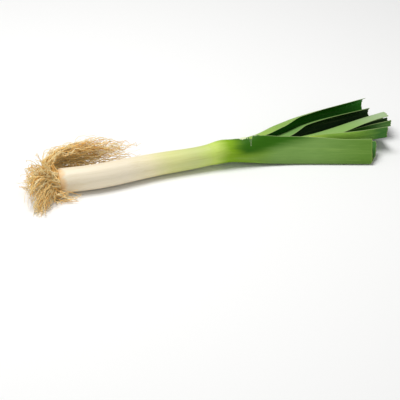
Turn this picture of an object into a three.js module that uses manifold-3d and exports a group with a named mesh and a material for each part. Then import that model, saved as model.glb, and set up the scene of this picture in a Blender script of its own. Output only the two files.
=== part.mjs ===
// A leek lying on a flat surface, trimmed for sale: a white shank, a root plate with its tuft of
// roots, and six folded leaves that fan out of the neck and are cut off square.
// Millimetres, +Z up. +X runs along the leek from its roots to its leaf ends, -Y is the side that the
// outermost leaf leans to, and the group is set so that the origin is the middle of the base of the box.
import * as THREE from "three";
import { mergeVertices } from "three/addons/utils/BufferGeometryUtils.js";
import Module from "manifold-3d";

const wasm = await Module();
wasm.setup();

// ---- driving dimensions ----
const BASE_RADIUS = 16; // the shank at the root plate
const WAIST_RADIUS = 13.7; // the shank at its slimmest, below the neck
const NECK_RADIUS = 15.8; // over the outer leaf's sheath, where the leaves part
const WAIST_X = 195;
const NECK_X = 225; // the length of the shank, root plate to neck
const SHEATH_X = 200; // where the outer leaf's sheath parts from the shank
const PLUG_X = 218; // where the shank ends, inside that sheath
const PLUG_STEP = 3.4; // how much slimmer it is in there
const LEAF_THICKNESS = 1.4;
const KEEL_ROUND = 3.2; // how softly a leaf folds along its midrib
const PLATE_RADIUS = 13.4;
const PLATE_THICKNESS = 6;
const GAP = 0.3; // left between pieces that touch
const LOCK_GAP = 0.4; // and between two locks of roots, whose facets cross at odd angles
const NECK_HEIGHT = 19.4; // the shank's axis above the surface at the neck

const SHANK_SIDES = 26;
const LEAF_STATIONS = 15;
const WALL_STEPS = 6; // across each half of a folded leaf
const LOCK_SIDES = 10;
const LOCK_STEPS = 8;

const COLOURS = {
  shank: 0xf0e8cf,
  plate: 0xb98a58,
  roots: 0xd9bd86,
  outerLeaf: 0x5d8f3a,
  leaf: 0x3f7a2a,
  heartLeaf: 0x86b04a,
};

// ---- small helpers ----
const smooth = (x, a, b) => {
  const t = Math.min(1, Math.max(0, (x - a) / (b - a)));
  return t * t * (3 - 2 * t);
};

// A leaf's value at a share of its length: soft steps between the values of its row.
const along = (leaf, label, s) =>
  leaf[label].reduce((sum, value, i, row) =>
    i ? sum + (value - row[i - 1]) * smooth(s, leaf.at[i - 1], leaf.at[i]) : value, 0);

const path = (points) =>
  new THREE.CatmullRomCurve3(points.map((p) => new THREE.Vector3(...p)), false, "centripetal");

// Rings of equally many points become one closed solid. The ends are closed by a ladder of
// triangles between the two halves of the ring, so a ring may be a thin folded strip.
function loft(rings) {
  const count = rings[0].length;
  const positions = rings.flat().flatMap((p) => [p.x, p.y, p.z]);
  const index = [];
  for (let r = 0; r + 1 < rings.length; r++) {
    for (let i = 0; i < count; i++) {
      const a = r * count + i;
      const b = r * count + ((i + 1) % count);
      index.push(a, b, b + count, a, b + count, a + count);
    }
  }
  const last = (rings.length - 1) * count;
  for (let i = 0; i + 1 < count / 2; i++) {
    const j = count - 1 - i;
    index.push(i, j, i + 1, i + 1, j, j - 1);
    index.push(last + i, last + i + 1, last + j, last + i + 1, last + j - 1, last + j);
  }
  return new THREE.BufferGeometry()
    .setAttribute("position", new THREE.Float32BufferAttribute(positions, 3))
    .setIndex(index);
}

// ---- solids, for the cuts between neighbours ----
function solid(geometry) {
  const bare = geometry.clone();
  bare.deleteAttribute("normal");
  bare.deleteAttribute("uv");
  const merged = mergeVertices(bare, 1e-4);
  const vertProperties = merged.attributes.position.array;
  const triVerts = new Uint32Array(merged.index.array);
  const made = new wasm.Manifold(new wasm.Mesh({ numProp: 3, vertProperties, triVerts }));
  if (made.volume() > 0) return made;
  triVerts.reverse();
  return new wasm.Manifold(new wasm.Mesh({ numProp: 3, vertProperties, triVerts }));
}

// The largest body of a solid: a cut can leave crumbs.
const largest = (made) =>
  made.decompose().reduce((a, b) => (b.volume() > a.volume() ? b : a));

function geometryOf(made) {
  const mesh = made.getMesh();
  return new THREE.BufferGeometry()
    .setAttribute("position", new THREE.Float32BufferAttribute(mesh.vertProperties, 3))
    .setIndex(new THREE.BufferAttribute(mesh.triVerts, 1));
}

// ---- shank ----
const shankAxis = path([
  [0, 0, BASE_RADIUS],
  [52, -4.2, BASE_RADIUS],
  [95, -0.5, BASE_RADIUS - 0.4],
  [143, 3.4, BASE_RADIUS - 0.9],
  [190, 3, BASE_RADIUS + 0.4],
  [NECK_X, 3.4, NECK_HEIGHT],
]);

// The leek's outside, sheath and all, at a distance x from the root plate.
function outerRadius(x) {
  const toWaist = BASE_RADIUS + (WAIST_RADIUS - BASE_RADIUS) * smooth(x, 50, WAIST_X);
  const toNeck = toWaist + (NECK_RADIUS - WAIST_RADIUS) * smooth(x, WAIST_X, NECK_X);
  return toNeck - 1.6 * (1 - Math.sqrt(smooth(x, -1, 5)));
}

// The axis where it has come as far as x.
function shankAt(x) {
  let low = 0;
  let high = 1;
  for (let i = 0; i < 30; i++) {
    const middle = (low + high) / 2;
    if (shankAxis.getPoint(middle).x < x) low = middle;
    else high = middle;
  }
  return shankAxis.getPoint(low);
}

// The shank itself steps in where the sheath wraps it, and ends in a dome.
function shankRadius(x) {
  const step = x < SHEATH_X - 0.5 ? 0 : PLUG_STEP;
  const dome = Math.sqrt(1 - 0.9 * smooth(x, PLUG_X - 9, PLUG_X) ** 2);
  return (outerRadius(x) - step) * dome;
}

function ringAt(x, radius) {
  const centre = shankAt(x);
  return Array.from({ length: SHANK_SIDES }, (_, i) => {
    const a = (2 * Math.PI * (i + 0.5)) / SHANK_SIDES;
    return new THREE.Vector3(x, centre.y + radius * Math.cos(a), centre.z + radius * Math.sin(a));
  });
}

const SHANK_STATIONS = [
  0, 2.5, 6, 25, 50, 75, 100, 125, 150, 175,
  SHEATH_X - 1, SHEATH_X - 0.4, PLUG_X - 9, PLUG_X - 5, PLUG_X - 2, PLUG_X,
];

function shankGeometry(extra = 0) {
  return loft(SHANK_STATIONS.map((x, i) => ringAt(x + (i ? extra : -extra), shankRadius(x) + extra)));
}

// ---- leaves ----
// A leaf is a strip, bent across its width. Its section starts as an arc of radius `wrap` round the
// neck and opens into a fold: across each half the strip's direction turns from square to the keel
// to the fold's own angle, and the keel follows a curve of its own.
// hand 1 has its keel towards -Y and opens to +Y, hand -1 the other way.
// tilt is how far above level the leaf opens, fold is half the angle between its two walls, in degrees.
// upper and lower are the widths of the two walls. The rows from wrap on give one value for each
// share of the leaf's length in `at`.
// slant is how far the cut end of the upper and of the lower wall leans along the leaf, for each
// millimetre away from the keel; beyond slantReach the lean fades out.
const STRAIGHT = 1e4; // a slantReach so long that the lean never fades

const LEAVES = {
  outer_leaf_front: {
    hand: 1, opens: [0.1, 0.42], slant: [0.1, 0.75], slantReach: 12, colour: COLOURS.outerLeaf,
    keel: [
      [SHEATH_X, -7.8, 8.6], [NECK_X, -9.2, 9.4], [250, -14.4, 6.9], [282, -21.6, 3.8],
      [314, -29.8, 2.5], [363, -45.8, 2.2], [402, -58.6, 2.2],
    ],
    at: [0, 0.45, 0.85],
    wrap: [13.9, NECK_RADIUS, NECK_RADIUS], tilt: [38, 37, 41], fold: [28, 13, 4],
    upper: [43, 36, 34], lower: [43, 32, 35.5],
  },
  outer_leaf_back: {
    hand: -1, opens: [0.05, 0.35], slant: [-0.62, -0.3], slantReach: STRAIGHT, colour: COLOURS.leaf,
    keel: [
      [217, 14.5, 21.5], [245, 16.5, 23], [273, 22.5, 24.6], [296, 33, 25.6],
      [326, 43, 26], [350, 51, 25], [392, 61, 24], [443, 72, 23],
    ],
    at: [0, 0.37, 0.5, 0.85],
    wrap: [12.2, 14, 14, 14], tilt: [-22, -20, -13, -10], fold: [24, 34, 43, 39],
    upper: [15, 22, 26, 28], lower: [14, 29, 30, 31],
  },
  middle_leaf_front: {
    hand: 1, opens: [0.05, 0.35], slant: [0, 0], slantReach: STRAIGHT, colour: COLOURS.leaf,
    keel: [
      [217, -6.6, 13.4], [262, -7.6, 12], [300, -9.6, 12],
      [337, -14, 13.4], [373, -19.4, 15.4], [437, -24.8, 18],
    ],
    at: [0, 0.45, 0.85],
    wrap: [12, 13, 13], tilt: [30, 26, 43], fold: [18, 34, 51],
    upper: [13, 16, 18], lower: [13, 22, 24],
  },
  middle_leaf_back: {
    hand: -1, opens: [0.05, 0.35], slant: [-0.6, -0.3], slantReach: STRAIGHT, colour: COLOURS.leaf,
    keel: [
      [217, 12.2, 20], [262, 12.8, 20], [290, 16.5, 20.2], [312, 22.4, 20.6],
      [337, 30.4, 21.4], [392, 42.2, 21], [443, 49.5, 20.5],
    ],
    at: [0, 0.38, 0.52, 0.85],
    wrap: [9.6, 12, 12, 12], tilt: [-20, -24, -13, -9], fold: [22, 32, 41, 38],
    upper: [11, 20, 24, 26], lower: [10, 24, 26, 27],
  },
  inner_leaf_back: {
    hand: -1, opens: [0.05, 0.35], slant: [-0.5, -0.3], slantReach: STRAIGHT, colour: COLOURS.outerLeaf,
    keel: [
      [217, 9.4, 19], [262, 6.2, 20.2], [303, 4.4, 20.8], [343, 6, 21.2],
      [387, 15.5, 21.8], [425, 26, 21.8], [458, 34, 21.5],
    ],
    at: [0, 0.42, 0.62, 0.85],
    wrap: [6.8, 10, 10, 10], tilt: [-18, -24, -22, -19], fold: [18, 30, 30, 32],
    upper: [7, 18, 24, 26], lower: [7, 21, 23, 25.5],
  },
  heart_leaf: {
    hand: 1, opens: [0.05, 0.35], slant: [0, 0], slantReach: STRAIGHT, colour: COLOURS.heartLeaf,
    keel: [[217, 0.5, 14.6], [262, -2, 13.6], [320, -5, 13.4], [380, -2.5, 14.4], [452, 6, 15.4]],
    at: [0, 0.45, 0.85],
    wrap: [4, 6, 6], tilt: [50, 72, 78], fold: [13, 13, 13],
    upper: [6, 10, 12.5], lower: [6, 10, 12.5],
  },
};

// Points across one wall of a leaf from the keel to the margin: how far each is along the way the
// leaf opens, how far it is to the side, and which way the strip runs there.
function wall(leaf, s, width) {
  const arcShare = 1 - smooth(s, ...leaf.opens);
  const wrap = along(leaf, "wrap", s);
  const fold = THREE.MathUtils.degToRad(along(leaf, "fold", s));
  const square = Math.PI / 2;
  const direction = (a) =>
    arcShare * (square - a / wrap) +
    (1 - arcShare) * (fold + (square - fold) * Math.exp(-a / KEEL_ROUND));
  const fine = 8;
  const points = [{ open: 0, side: 0, turn: direction(0) }];
  for (let i = 1; i <= WALL_STEPS; i++) {
    const from = width * ((i - 1) / WALL_STEPS) ** 1.35;
    const step = (width * (i / WALL_STEPS) ** 1.35 - from) / fine;
    let { open, side } = points[i - 1];
    for (let k = 0; k < fine; k++) {
      const turn = direction(from + step * (k + 0.5));
      open += Math.cos(turn) * step;
      side += Math.sin(turn) * step;
    }
    points.push({ open, side, turn: direction(from + step * fine) });
  }
  return points;
}

function leafRing(leaf, curve, s, outset) {
  const keel = curve.getPointAt(s);
  const forward = curve.getTangentAt(s);
  const aside = new THREE.Vector3(0, 0, 1).cross(forward).normalize();
  const up = forward.clone().cross(aside);
  const tilt = THREE.MathUtils.degToRad(along(leaf, "tilt", s));
  const level = aside.multiplyScalar(leaf.hand);
  const opening = level.clone().multiplyScalar(Math.cos(tilt)).addScaledVector(up, Math.sin(tilt));
  const across = level.clone().multiplyScalar(-Math.sin(tilt)).addScaledVector(up, Math.cos(tilt));
  const [leanUp, leanDown] = leaf.slant.map((lean) => lean * leaf.slantReach * smooth(s, 0.5, 1));
  const place = ({ open, side, turn }, hand, depth) =>
    keel
      .clone()
      .addScaledVector(opening, open + depth * Math.sin(turn))
      .addScaledVector(across, hand * (side - depth * Math.cos(turn)))
      .addScaledVector(forward, (hand > 0 ? leanUp : leanDown) * (1 - Math.exp(-open / leaf.slantReach)));
  const upper = wall(leaf, s, along(leaf, "upper", s) + outset);
  const lower = wall(leaf, s, along(leaf, "lower", s) + outset);
  const strip = (depth) => [
    ...lower.slice(1).reverse().map((p) => place(p, -1, depth)),
    ...upper.map((p) => place(p, 1, depth)),
  ];
  return [...strip(-outset), ...strip(LEAF_THICKNESS + outset).reverse()];
}

// outset makes the same leaf fatter all round, as the tool that cuts its neighbour.
function leafGeometry(leaf, outset = 0) {
  const curve = path(leaf.keel);
  const stations = Array.from({ length: LEAF_STATIONS + 1 }, (_, i) => i / LEAF_STATIONS);
  return loft(stations.map((s) => leafRing(leaf, curve, s, outset)));
}

// ---- roots ----
// Each lock stands for some forty-five roots: a tapered, bent strand from the plate's face to its tip.
// [angle round the plate in degrees, share of the plate's radius, bend point, tip]
const ROOT_LOCKS = [
  [20, 0.8, [-8, 20, 24], [48, 27, 21], [108, 27, 18]],
  [42, 0.82, [-7, 20, 30], [50, 29, 33], [110, 33, 26]],
  [62, 0.84, [-6, 16, 35], [42, 27, 41], [100, 35, 35]],
  [84, 0.84, [-6, 10, 37], [32, 24, 45], [84, 37, 41]],
  [30, 0.5, [-12, 19, 28], [34, 40, 25], [92, 46, 20]],
  [70, 0.5, [-10, 11, 37], [14, 22, 44], [58, 38, 44]],
  [5, 0.62, [-14, 22, 14], [20, 44, 10], [66, 52, 8]],
  [108, 0.8, [-12, 4, 36], [-6, 12, 43], [16, 26, 45]],
  [135, 0.8, [-15, -5, 37], [-22, -7, 47], [-26, -5, 54]],
  [160, 0.45, [-20, -5, 32], [-32, -8, 33], [-38, -14, 21]],
  [165, 0.85, [-18, -12, 26], [-33, -20, 22], [-43, -34, 9]],
  [200, 0.82, [-17, -16, 19], [-31, -31, 14], [-40, -49, 4]],
  [235, 0.8, [-14, -16, 12], [-24, -32, 8], [-31, -52, 3]],
  [275, 0.55, [-18, 2, 12], [-32, 12, 9], [-42, 20, 5]],
  [335, 0.8, [-14, 14, 10], [-20, 30, 8], [-10, 44, 5]],
  [285, 0.85, [-10, -8, 4.5], [-2, -22, 4.5], [16, -26, 4.5]],
  [120, 0.3, [-19, 4, 27], [-32, 6, 32], [-30, 14, 24]],
];

function lockGeometry([angle, share, bend, middle, tip], outset = 0) {
  const a = THREE.MathUtils.degToRad(angle);
  const rise = PLATE_RADIUS * share;
  const start = [
    -PLATE_THICKNESS - GAP + outset,
    rise * Math.cos(a),
    BASE_RADIUS + rise * Math.sin(a),
  ];
  const curve = path([start, bend, middle, tip]);
  const frames = curve.computeFrenetFrames(LOCK_STEPS, false);
  const rings = [];
  for (let i = 0; i <= LOCK_STEPS; i++) {
    const s = i / LOCK_STEPS;
    const radius = 1.6 + 2.6 * Math.sin(Math.PI * Math.min(1, s * 1.05)) ** 0.8 + outset;
    const centre = curve.getPointAt(s);
    const ring = Array.from({ length: LOCK_SIDES }, (_, k) => {
      const turn = (2 * Math.PI * (k + 0.5)) / LOCK_SIDES;
      const p = centre
        .clone()
        .addScaledVector(frames.normals[i], radius * Math.cos(turn))
        .addScaledVector(frames.binormals[i], radius * Math.sin(turn));
      p.x = i === 0 ? centre.x : p.x;
      p.z = Math.max(p.z, 0.2 - outset);
      return p;
    });
    rings.push(ring);
  }
  return loft(rings);
}

function plateGeometry(extra = 0) {
  const r = PLATE_RADIUS + extra;
  const profile = [
    [0, -extra], [r - 2.2, -extra], [r, 2 - extra],
    [r - 0.4, PLATE_THICKNESS - GAP + extra], [0, PLATE_THICKNESS - GAP + extra],
  ];
  const turned = new THREE.LatheGeometry(profile.map(([x, y]) => new THREE.Vector2(x, y)), SHANK_SIDES);
  turned.rotateZ(-Math.PI / 2); // the profile's height becomes +X
  turned.translate(-PLATE_THICKNESS, 0, BASE_RADIUS);
  return turned;
}

// ---- the object ----
const leek = new THREE.Group();
const plant = new THREE.Group();
leek.add(plant);

function add(name, geometry, colour, roughness) {
  const mesh = new THREE.Mesh(
    geometry,
    new THREE.MeshStandardMaterial({ color: colour, roughness, metalness: 0 }),
  );
  mesh.name = name;
  plant.add(mesh);
}

add("shank", shankGeometry(), COLOURS.shank, 0.42);
add("root_plate", plateGeometry(), COLOURS.plate, 0.85);

// Each piece gives way to those before it, so the pieces touch and none overlaps.
const cutters = [solid(shankGeometry(GAP)), solid(plateGeometry(GAP))];

for (const [name, leaf] of Object.entries(LEAVES)) {
  const whole = solid(leafGeometry(leaf));
  const trimmed = largest(cutters.reduce((made, tool) => made.subtract(tool), whole));
  add(name, geometryOf(trimmed), leaf.colour, 0.5);
  cutters.push(solid(leafGeometry(leaf, GAP)));
}

ROOT_LOCKS.forEach((lock, i) => {
  const whole = solid(lockGeometry(lock));
  const trimmed = largest(cutters.reduce((made, tool) => made.subtract(tool), whole));
  add(`root_lock_${String(i + 1).padStart(2, "0")}`, geometryOf(trimmed), COLOURS.roots, 0.9);
  cutters.push(solid(lockGeometry(lock, LOCK_GAP)));
});

const box = new THREE.Box3().setFromObject(plant);
const middle = box.getCenter(new THREE.Vector3());
plant.position.set(-middle.x, -middle.y, -box.min.z);

export default leek;
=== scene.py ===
"""A trimmed leek lying on its side: white shank, root disc, tuft of fine roots and six folded leaves.

Lengths in the tables are millimetres in the plant's own frame: x runs from the root disc (0) to the
leaf ends, y across, z up from the surface that the leek lies on. MM and ORIGIN bring them into the
scene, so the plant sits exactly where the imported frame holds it.
"""

import math

import bpy
import numpy as np
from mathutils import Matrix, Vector


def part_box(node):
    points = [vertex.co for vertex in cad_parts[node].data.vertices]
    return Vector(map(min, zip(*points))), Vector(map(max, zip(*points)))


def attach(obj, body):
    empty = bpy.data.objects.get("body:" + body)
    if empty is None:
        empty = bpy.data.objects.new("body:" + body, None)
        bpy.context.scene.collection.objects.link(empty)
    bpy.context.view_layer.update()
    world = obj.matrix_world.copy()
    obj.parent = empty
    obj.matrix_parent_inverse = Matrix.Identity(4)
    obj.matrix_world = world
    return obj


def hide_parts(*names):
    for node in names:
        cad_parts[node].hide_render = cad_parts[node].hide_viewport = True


bl_info = {
    "name": "Leek",
    "version": (1, 0, 0),
    "blender": (4, 5, 0),
    "location": "3D View > Sidebar > Leek",
    "description": "Builds a trimmed leek with its roots, shank and leaves",
    "category": "Add Mesh",
}

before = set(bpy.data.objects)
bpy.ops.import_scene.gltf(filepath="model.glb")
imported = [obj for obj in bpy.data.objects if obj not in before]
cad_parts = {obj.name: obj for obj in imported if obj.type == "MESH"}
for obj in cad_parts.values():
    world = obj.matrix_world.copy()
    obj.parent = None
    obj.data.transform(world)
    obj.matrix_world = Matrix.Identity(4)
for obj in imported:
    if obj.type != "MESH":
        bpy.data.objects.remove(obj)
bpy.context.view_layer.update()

MM = 0.001
PLATE_GAP = 0.3 * MM  # the frame keeps this between the root disc and the shank
PLATE_LOW, PLATE_HIGH = (np.array(corner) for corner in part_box("root_plate"))
ORIGIN = np.array([PLATE_HIGH[0] + PLATE_GAP, (PLATE_LOW[1] + PLATE_HIGH[1]) / 2, 0.0])

BASE_RADIUS = 16.0  # the shank at the root disc
WAIST_RADIUS = 13.7  # at its slimmest
NECK_RADIUS = 15.8  # where the leaves part
WAIST_X = 195.0
NECK_X = 225.0
SHEATH_X = 200.0  # where the outer leaf's sheath takes over from the shank
PLUG_X = 217.0  # where the shank ends, inside that sheath
PLUG_STEP = 2.4  # how much slimmer it is in there
KEEL_ROUND = 3.2  # how softly a leaf folds along its midrib
RIB_HEIGHT = 0.45  # how far the midrib stands out
RIB_WIDTH = 1.9
THIN_OUT = 7.0  # from the keel outwards, a leaf's thickness falls to that of its margins over this
DISC_HEIGHT = 5.6
DISC_LIP = 0.5  # how far the disc's rim reaches past the radius that the roots' feet are shares of
DIP_X = 240.0  # where the torn edge of the sheath dips
NICK_X = 250.4  # where it is nicked
TEAR_SEED = 77
TORN_SKIN_SEED = 78
KNOTS = 400  # heights in a soft random line
WALL_SAMPLES = 161  # points at which a wall's bend is summed up, from keel to margin
NO_FADE = 1000.0  # a slant_reach so long that the lean hardly fades
WALL_PARTS = ("a", "turn", "ahead", "aside", "run")  # the grids that leaf_side works out
STRAND_RINGS = 24
STRAND_SIDES = 3
STRAND_WAVES = ((55.0, 3.4), (24.0, 2.2), (13.0, 1.0))  # length and size of each
AIM = (165.5, -66.7, -4.4)  # what the camera looks at
LIT = (200.0, 0.0, 0.0)  # what the lights point at

SHANK_AXIS = [
    (0, 0, 16), (52, -4.2, 16), (95, -0.5, 15.6), (143, 3.4, 15.1),
    (190, 3, 16.4), (225, 3.4, 19.4), (252, 2, 20),
]

# Each leaf is a strip bent across its width, by the rule that leaf_side and leaf_place work out.
# hand: 1 keel towards -y, -1 keel towards +y. opens: between which shares of its length a sheath
# becomes a folded blade. slant: how far the cut end of the upper and of the lower wall leans along the
# leaf for each millimetre away from the keel; past slant_reach the lean fades. keel: the midrib's
# course. The rows from wrap on give one value for each share of the leaf's length in at: wrap, the
# radius of the sheath; tilt, fold and bow in degrees; upper and lower, the widths of the two walls.
LEAVES = {
    "outer_leaf_front": dict(
        hand=1, opens=(0.1, 0.42), slant=(0.1, 0.75), slant_reach=12, seed=1,
        keel=[
            (200, -7.8, 8.6), (225, -9.2, 9.4), (250, -14.4, 6.9), (282, -21.6, 3.8),
            (314, -29.8, 2.5), (363, -45.8, 2.2), (402, -58.6, 2.2),
        ],
        at=(0, 0.45, 0.85),
        wrap=(13.9, 15.8, 15.8), tilt=(38, 37, 41), fold=(28, 13, 4), bow=(0, 2, 0),
        upper=(43.3, 36, 34), lower=(43.3, 32, 35.5),
    ),
    "outer_leaf_back": dict(
        hand=-1, opens=(0.05, 0.35), slant=(-0.62, -0.3), seed=2,
        keel=[
            (217, 14.5, 21.5), (245, 16.5, 23), (273, 22.5, 24.6), (296, 33, 25.6),
            (326, 43, 26), (350, 51, 25), (392, 61, 24), (443, 72, 23),
        ],
        at=(0, 0.37, 0.5, 0.85),
        wrap=(12.2, 14, 14, 14), tilt=(-22, -20, -13, -10), fold=(24, 34, 43, 41.5), bow=(0, 2, 1, 1),
        upper=(15, 22, 26, 28), lower=(14, 29, 30, 31),
    ),
    "middle_leaf_front": dict(
        hand=1, opens=(0.05, 0.35), slant=(0, 0), seed=3,
        keel=[
            (217, -6.6, 13.4), (262, -7.6, 12), (300, -9.6, 12),
            (337, -14, 13.4), (373, -19.4, 15.4), (437, -24.8, 18),
        ],
        at=(0, 0.45, 0.85),
        wrap=(12, 13, 13), tilt=(30, 26, 43), fold=(18, 34, 51), bow=(0, 0, 6),
        upper=(13, 16, 18), lower=(13, 22, 24),
    ),
    "middle_leaf_back": dict(
        hand=-1, opens=(0.05, 0.35), slant=(-0.6, -0.3), seed=4,
        keel=[
            (217, 12.2, 20), (262, 12.8, 20), (290, 16.5, 20.2), (312, 22.4, 20.6),
            (337, 30.4, 21.4), (392, 42.2, 21), (443, 49.5, 20.5),
        ],
        at=(0, 0.38, 0.52, 0.85),
        wrap=(9.6, 12, 12, 12), tilt=(-20, -24, -13, -9), fold=(22, 32, 41, 38), bow=(0, 2, 1, 0),
        upper=(11, 20, 24, 26), lower=(10, 24, 26, 27),
    ),
    "inner_leaf_back": dict(
        hand=-1, opens=(0.05, 0.35), slant=(-0.5, -0.3), seed=5,
        keel=[
            (217, 9.4, 19), (262, 6.2, 20.2), (303, 4.4, 20.8), (343, 6, 21.2),
            (387, 15.5, 21.8), (425, 26, 21.8), (458, 34, 21.5),
        ],
        at=(0, 0.45, 0.62, 0.85),
        wrap=(6.8, 10, 10, 10), tilt=(-18, -24, -22, -19), fold=(18, 30, 30, 32), bow=(0, 0, 0, 0),
        upper=(7, 17, 27, 27), lower=(7, 21, 23, 25.5),
    ),
    "heart_leaf": dict(
        hand=1, opens=(0.05, 0.35), slant=(0, 0), seed=6,
        keel=[(217, 0.5, 14.6), (262, -2, 13.6), (320, -5, 13.4), (380, -2.5, 14.4), (456, 6.5, 15.5)],
        at=(0, 0.45, 0.85),
        wrap=(4, 6, 6), tilt=(50, 72, 78), fold=(13, 13, 13), bow=(0, 0, 0),
        upper=(6, 10, 12.5), lower=(6, 10, 12.5),
    ),
}

# A leaf's colours: its outer face at the neck, half way and at its end, its inner face, where along
# the plant the first and the last of them hold, and where the neck's skin gives way to them. rubbed
# says that the bloom is rubbed off near the neck, where the skin is darker.
LEAF_LOOKS = {
    "outer_leaf_front": dict(
        outer=((128, 168, 20), (114, 150, 74), (92, 131, 46)), inner=(74, 134, 54),
        reach=(232, 395), neck=(214, 240), rubbed=True,
    ),
    "outer_leaf_back": dict(
        outer=((160, 190, 88), (136, 172, 80), (78, 122, 44)), inner=(38, 142, 0),
        reach=(250, 400), neck=(225, 262), rubbed=False,
    ),
    "middle_leaf_front": dict(
        outer=((226, 255, 112), (172, 226, 88), (60, 118, 38)), inner=(60, 112, 24),
        reach=(325, 428), neck=(225, 280), rubbed=False,
    ),
    "middle_leaf_back": dict(
        # painted shade: the inner green is made near black here, for the deep shade under the leaf's own
        # upper wall
        outer=((136, 172, 96), (116, 158, 84), (70, 112, 50)), inner=(12, 62, 0),
        reach=(270, 400), neck=(225, 280), rubbed=False,
    ),
    "inner_leaf_back": dict(
        outer=((136, 174, 66), (138, 176, 96), (166, 190, 142)), inner=(36, 78, 30),
        reach=(290, 450), neck=(240, 320), rubbed=False,
    ),
    "heart_leaf": dict(
        # partly painted shade: the dark middle green is partly the heart leaf's own colour and partly the
        # shade of the leaf lying over it
        outer=((120, 150, 60), (50, 96, 28), (72, 122, 44)), inner=(40, 86, 26),
        reach=(250, 455), neck=(240, 320), rubbed=False,
    ),
}

# Centre lines of the root locks: where each leaves the disc (angle in degrees, share of its radius),
# where it bends, its middle and its tip.
ROOT_LOCKS = [
    (20, 0.8, (-8, 20, 24), (48, 27, 21), (108, 27, 18)),
    (42, 0.82, (-7, 20, 30), (50, 29, 33), (110, 33, 26)),
    (62, 0.84, (-6, 16, 35), (42, 27, 41), (100, 35, 35)),
    (84, 0.84, (-6, 10, 37), (32, 24, 45), (84, 37, 41)),
    (30, 0.5, (-12, 19, 28), (34, 40, 25), (92, 46, 20)),
    (70, 0.5, (-10, 11, 37), (14, 22, 44), (58, 38, 44)),
    (5, 0.62, (-14, 22, 14), (20, 44, 10), (66, 52, 8)),
    (108, 0.8, (-12, 4, 36), (-6, 12, 43), (16, 26, 45)),
    (135, 0.8, (-15, -5, 37), (-22, -7, 47), (-26, -5, 54)),
    (160, 0.45, (-20, -5, 32), (-32, -8, 33), (-38, -14, 21)),
    (165, 0.85, (-18, -12, 26), (-33, -20, 22), (-43, -34, 9)),
    (200, 0.82, (-17, -16, 19), (-31, -31, 14), (-40, -49, 4)),
    (235, 0.8, (-14, -16, 12), (-24, -32, 8), (-31, -52, 3)),
    (275, 0.55, (-18, 2, 12), (-32, 12, 9), (-42, 20, 5)),
    (335, 0.8, (-14, 14, 10), (-20, 30, 8), (-10, 44, 5)),
    (285, 0.85, (-10, -8, 4.5), (-2, -22, 4.5), (16, -26, 4.5)),
    (120, 0.3, (-19, 4, 27), (-32, 6, 32), (-30, 14, 24)),
]


def linear(red, green, blue):
    """An sRGB colour of 0 to 255 as the linear numbers that nodes and colour properties hold."""
    shares = (c / 255 for c in (red, green, blue))
    return tuple(c / 12.92 if c <= 0.04045 else ((c + 0.055) / 1.055) ** 2.4 for c in shares)


def smooth(x, low, high):
    """0 below low, 1 above high, and the cubic 3t^2 - 2t^3 of the share t in between."""
    t = np.clip((x - low) / (high - low), 0.0, 1.0)
    return t * t * (3 - 2 * t)


def graded(leaf, label, share):
    """A leaf's value by share of its length: soft steps between the values of its table."""
    at, values = leaf["at"], leaf[label]
    total = np.full(np.shape(share), float(values[0]))
    for i in range(1, len(at)):
        total = total + (values[i] - values[i - 1]) * smooth(share, at[i - 1], at[i])
    return total


def wander(rng, x, period, size):
    """A soft random line of x: random heights of the given size, a period apart, joined by cubic steps."""
    knots = rng.uniform(-size, size, KNOTS)
    place = np.asarray(x) / period + 3.0
    low = np.floor(place).astype(int) % (KNOTS - 1)
    t = place - np.floor(place)
    return knots[low] + (knots[low + 1] - knots[low]) * t * t * (3 - 2 * t)


class Path:
    """A natural cubic spline through points, read by its share of length.

    Its knots lie a chord's length apart. The second derivatives come from the usual tridiagonal
    system, so that curvature runs on evenly through every point and is zero at both ends.
    """

    def __init__(self, points):
        self.points = np.array(points, float)
        self.knots = np.concatenate([[0], np.cumsum(np.linalg.norm(np.diff(self.points, axis=0), axis=1))])
        gap = np.diff(self.knots)
        count = len(self.points)
        system = np.eye(count)
        right = np.zeros((count, 3))
        inner = np.arange(1, count - 1)
        system[inner, inner - 1] = gap[:-1]
        system[inner, inner] = 2 * (gap[:-1] + gap[1:])
        system[inner, inner + 1] = gap[1:]
        slope = np.diff(self.points, axis=0) / gap[:, None]
        right[1:-1] = 6 * np.diff(slope, axis=0)
        self.second = np.linalg.solve(system, right)
        self.fine = np.linspace(0, self.knots[-1], 600)
        steps = np.linalg.norm(np.diff(self._place(self.fine), axis=0), axis=1)
        run = np.concatenate([[0], np.cumsum(steps)])
        self.length = run[-1]
        self.share = run / run[-1]

    def _parts(self, t):
        i = np.clip(np.searchsorted(self.knots, t, side="right") - 1, 0, len(self.knots) - 2)
        gap = (self.knots[i + 1] - self.knots[i])[..., None]
        before = (self.knots[i + 1] - t)[..., None]
        after = (t - self.knots[i])[..., None]
        return i, gap, before, after

    def _place(self, t):
        i, gap, before, after = self._parts(t)
        low, high = self.second[i], self.second[i + 1]
        cubic = (low * before**3 + high * after**3) / (6 * gap)
        return (
            cubic
            + (self.points[i] / gap - low * gap / 6) * before
            + (self.points[i + 1] / gap - high * gap / 6) * after
        )

    def _slope(self, t):
        i, gap, before, after = self._parts(t)
        low, high = self.second[i], self.second[i + 1]
        slope = (high * after**2 - low * before**2) / (2 * gap)
        slope = slope + (self.points[i + 1] - self.points[i]) / gap - (high - low) * gap / 6
        return slope / np.linalg.norm(slope, axis=-1, keepdims=True)

    def at(self, share):
        """Places and directions; a share past 1 runs straight on from the end."""
        share = np.asarray(share, float)
        t = np.interp(np.clip(share, 0, 1), self.share, self.fine)
        forward = self._slope(t)
        past = np.maximum(share - 1, 0)[..., None] * self.length
        return self._place(t) + forward * past, forward


def cross_unit(a, b):
    """The unit vector square to a and b."""
    square = np.cross(a, b)
    return square / np.linalg.norm(square, axis=-1, keepdims=True)


# ---- meshes ----


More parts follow.
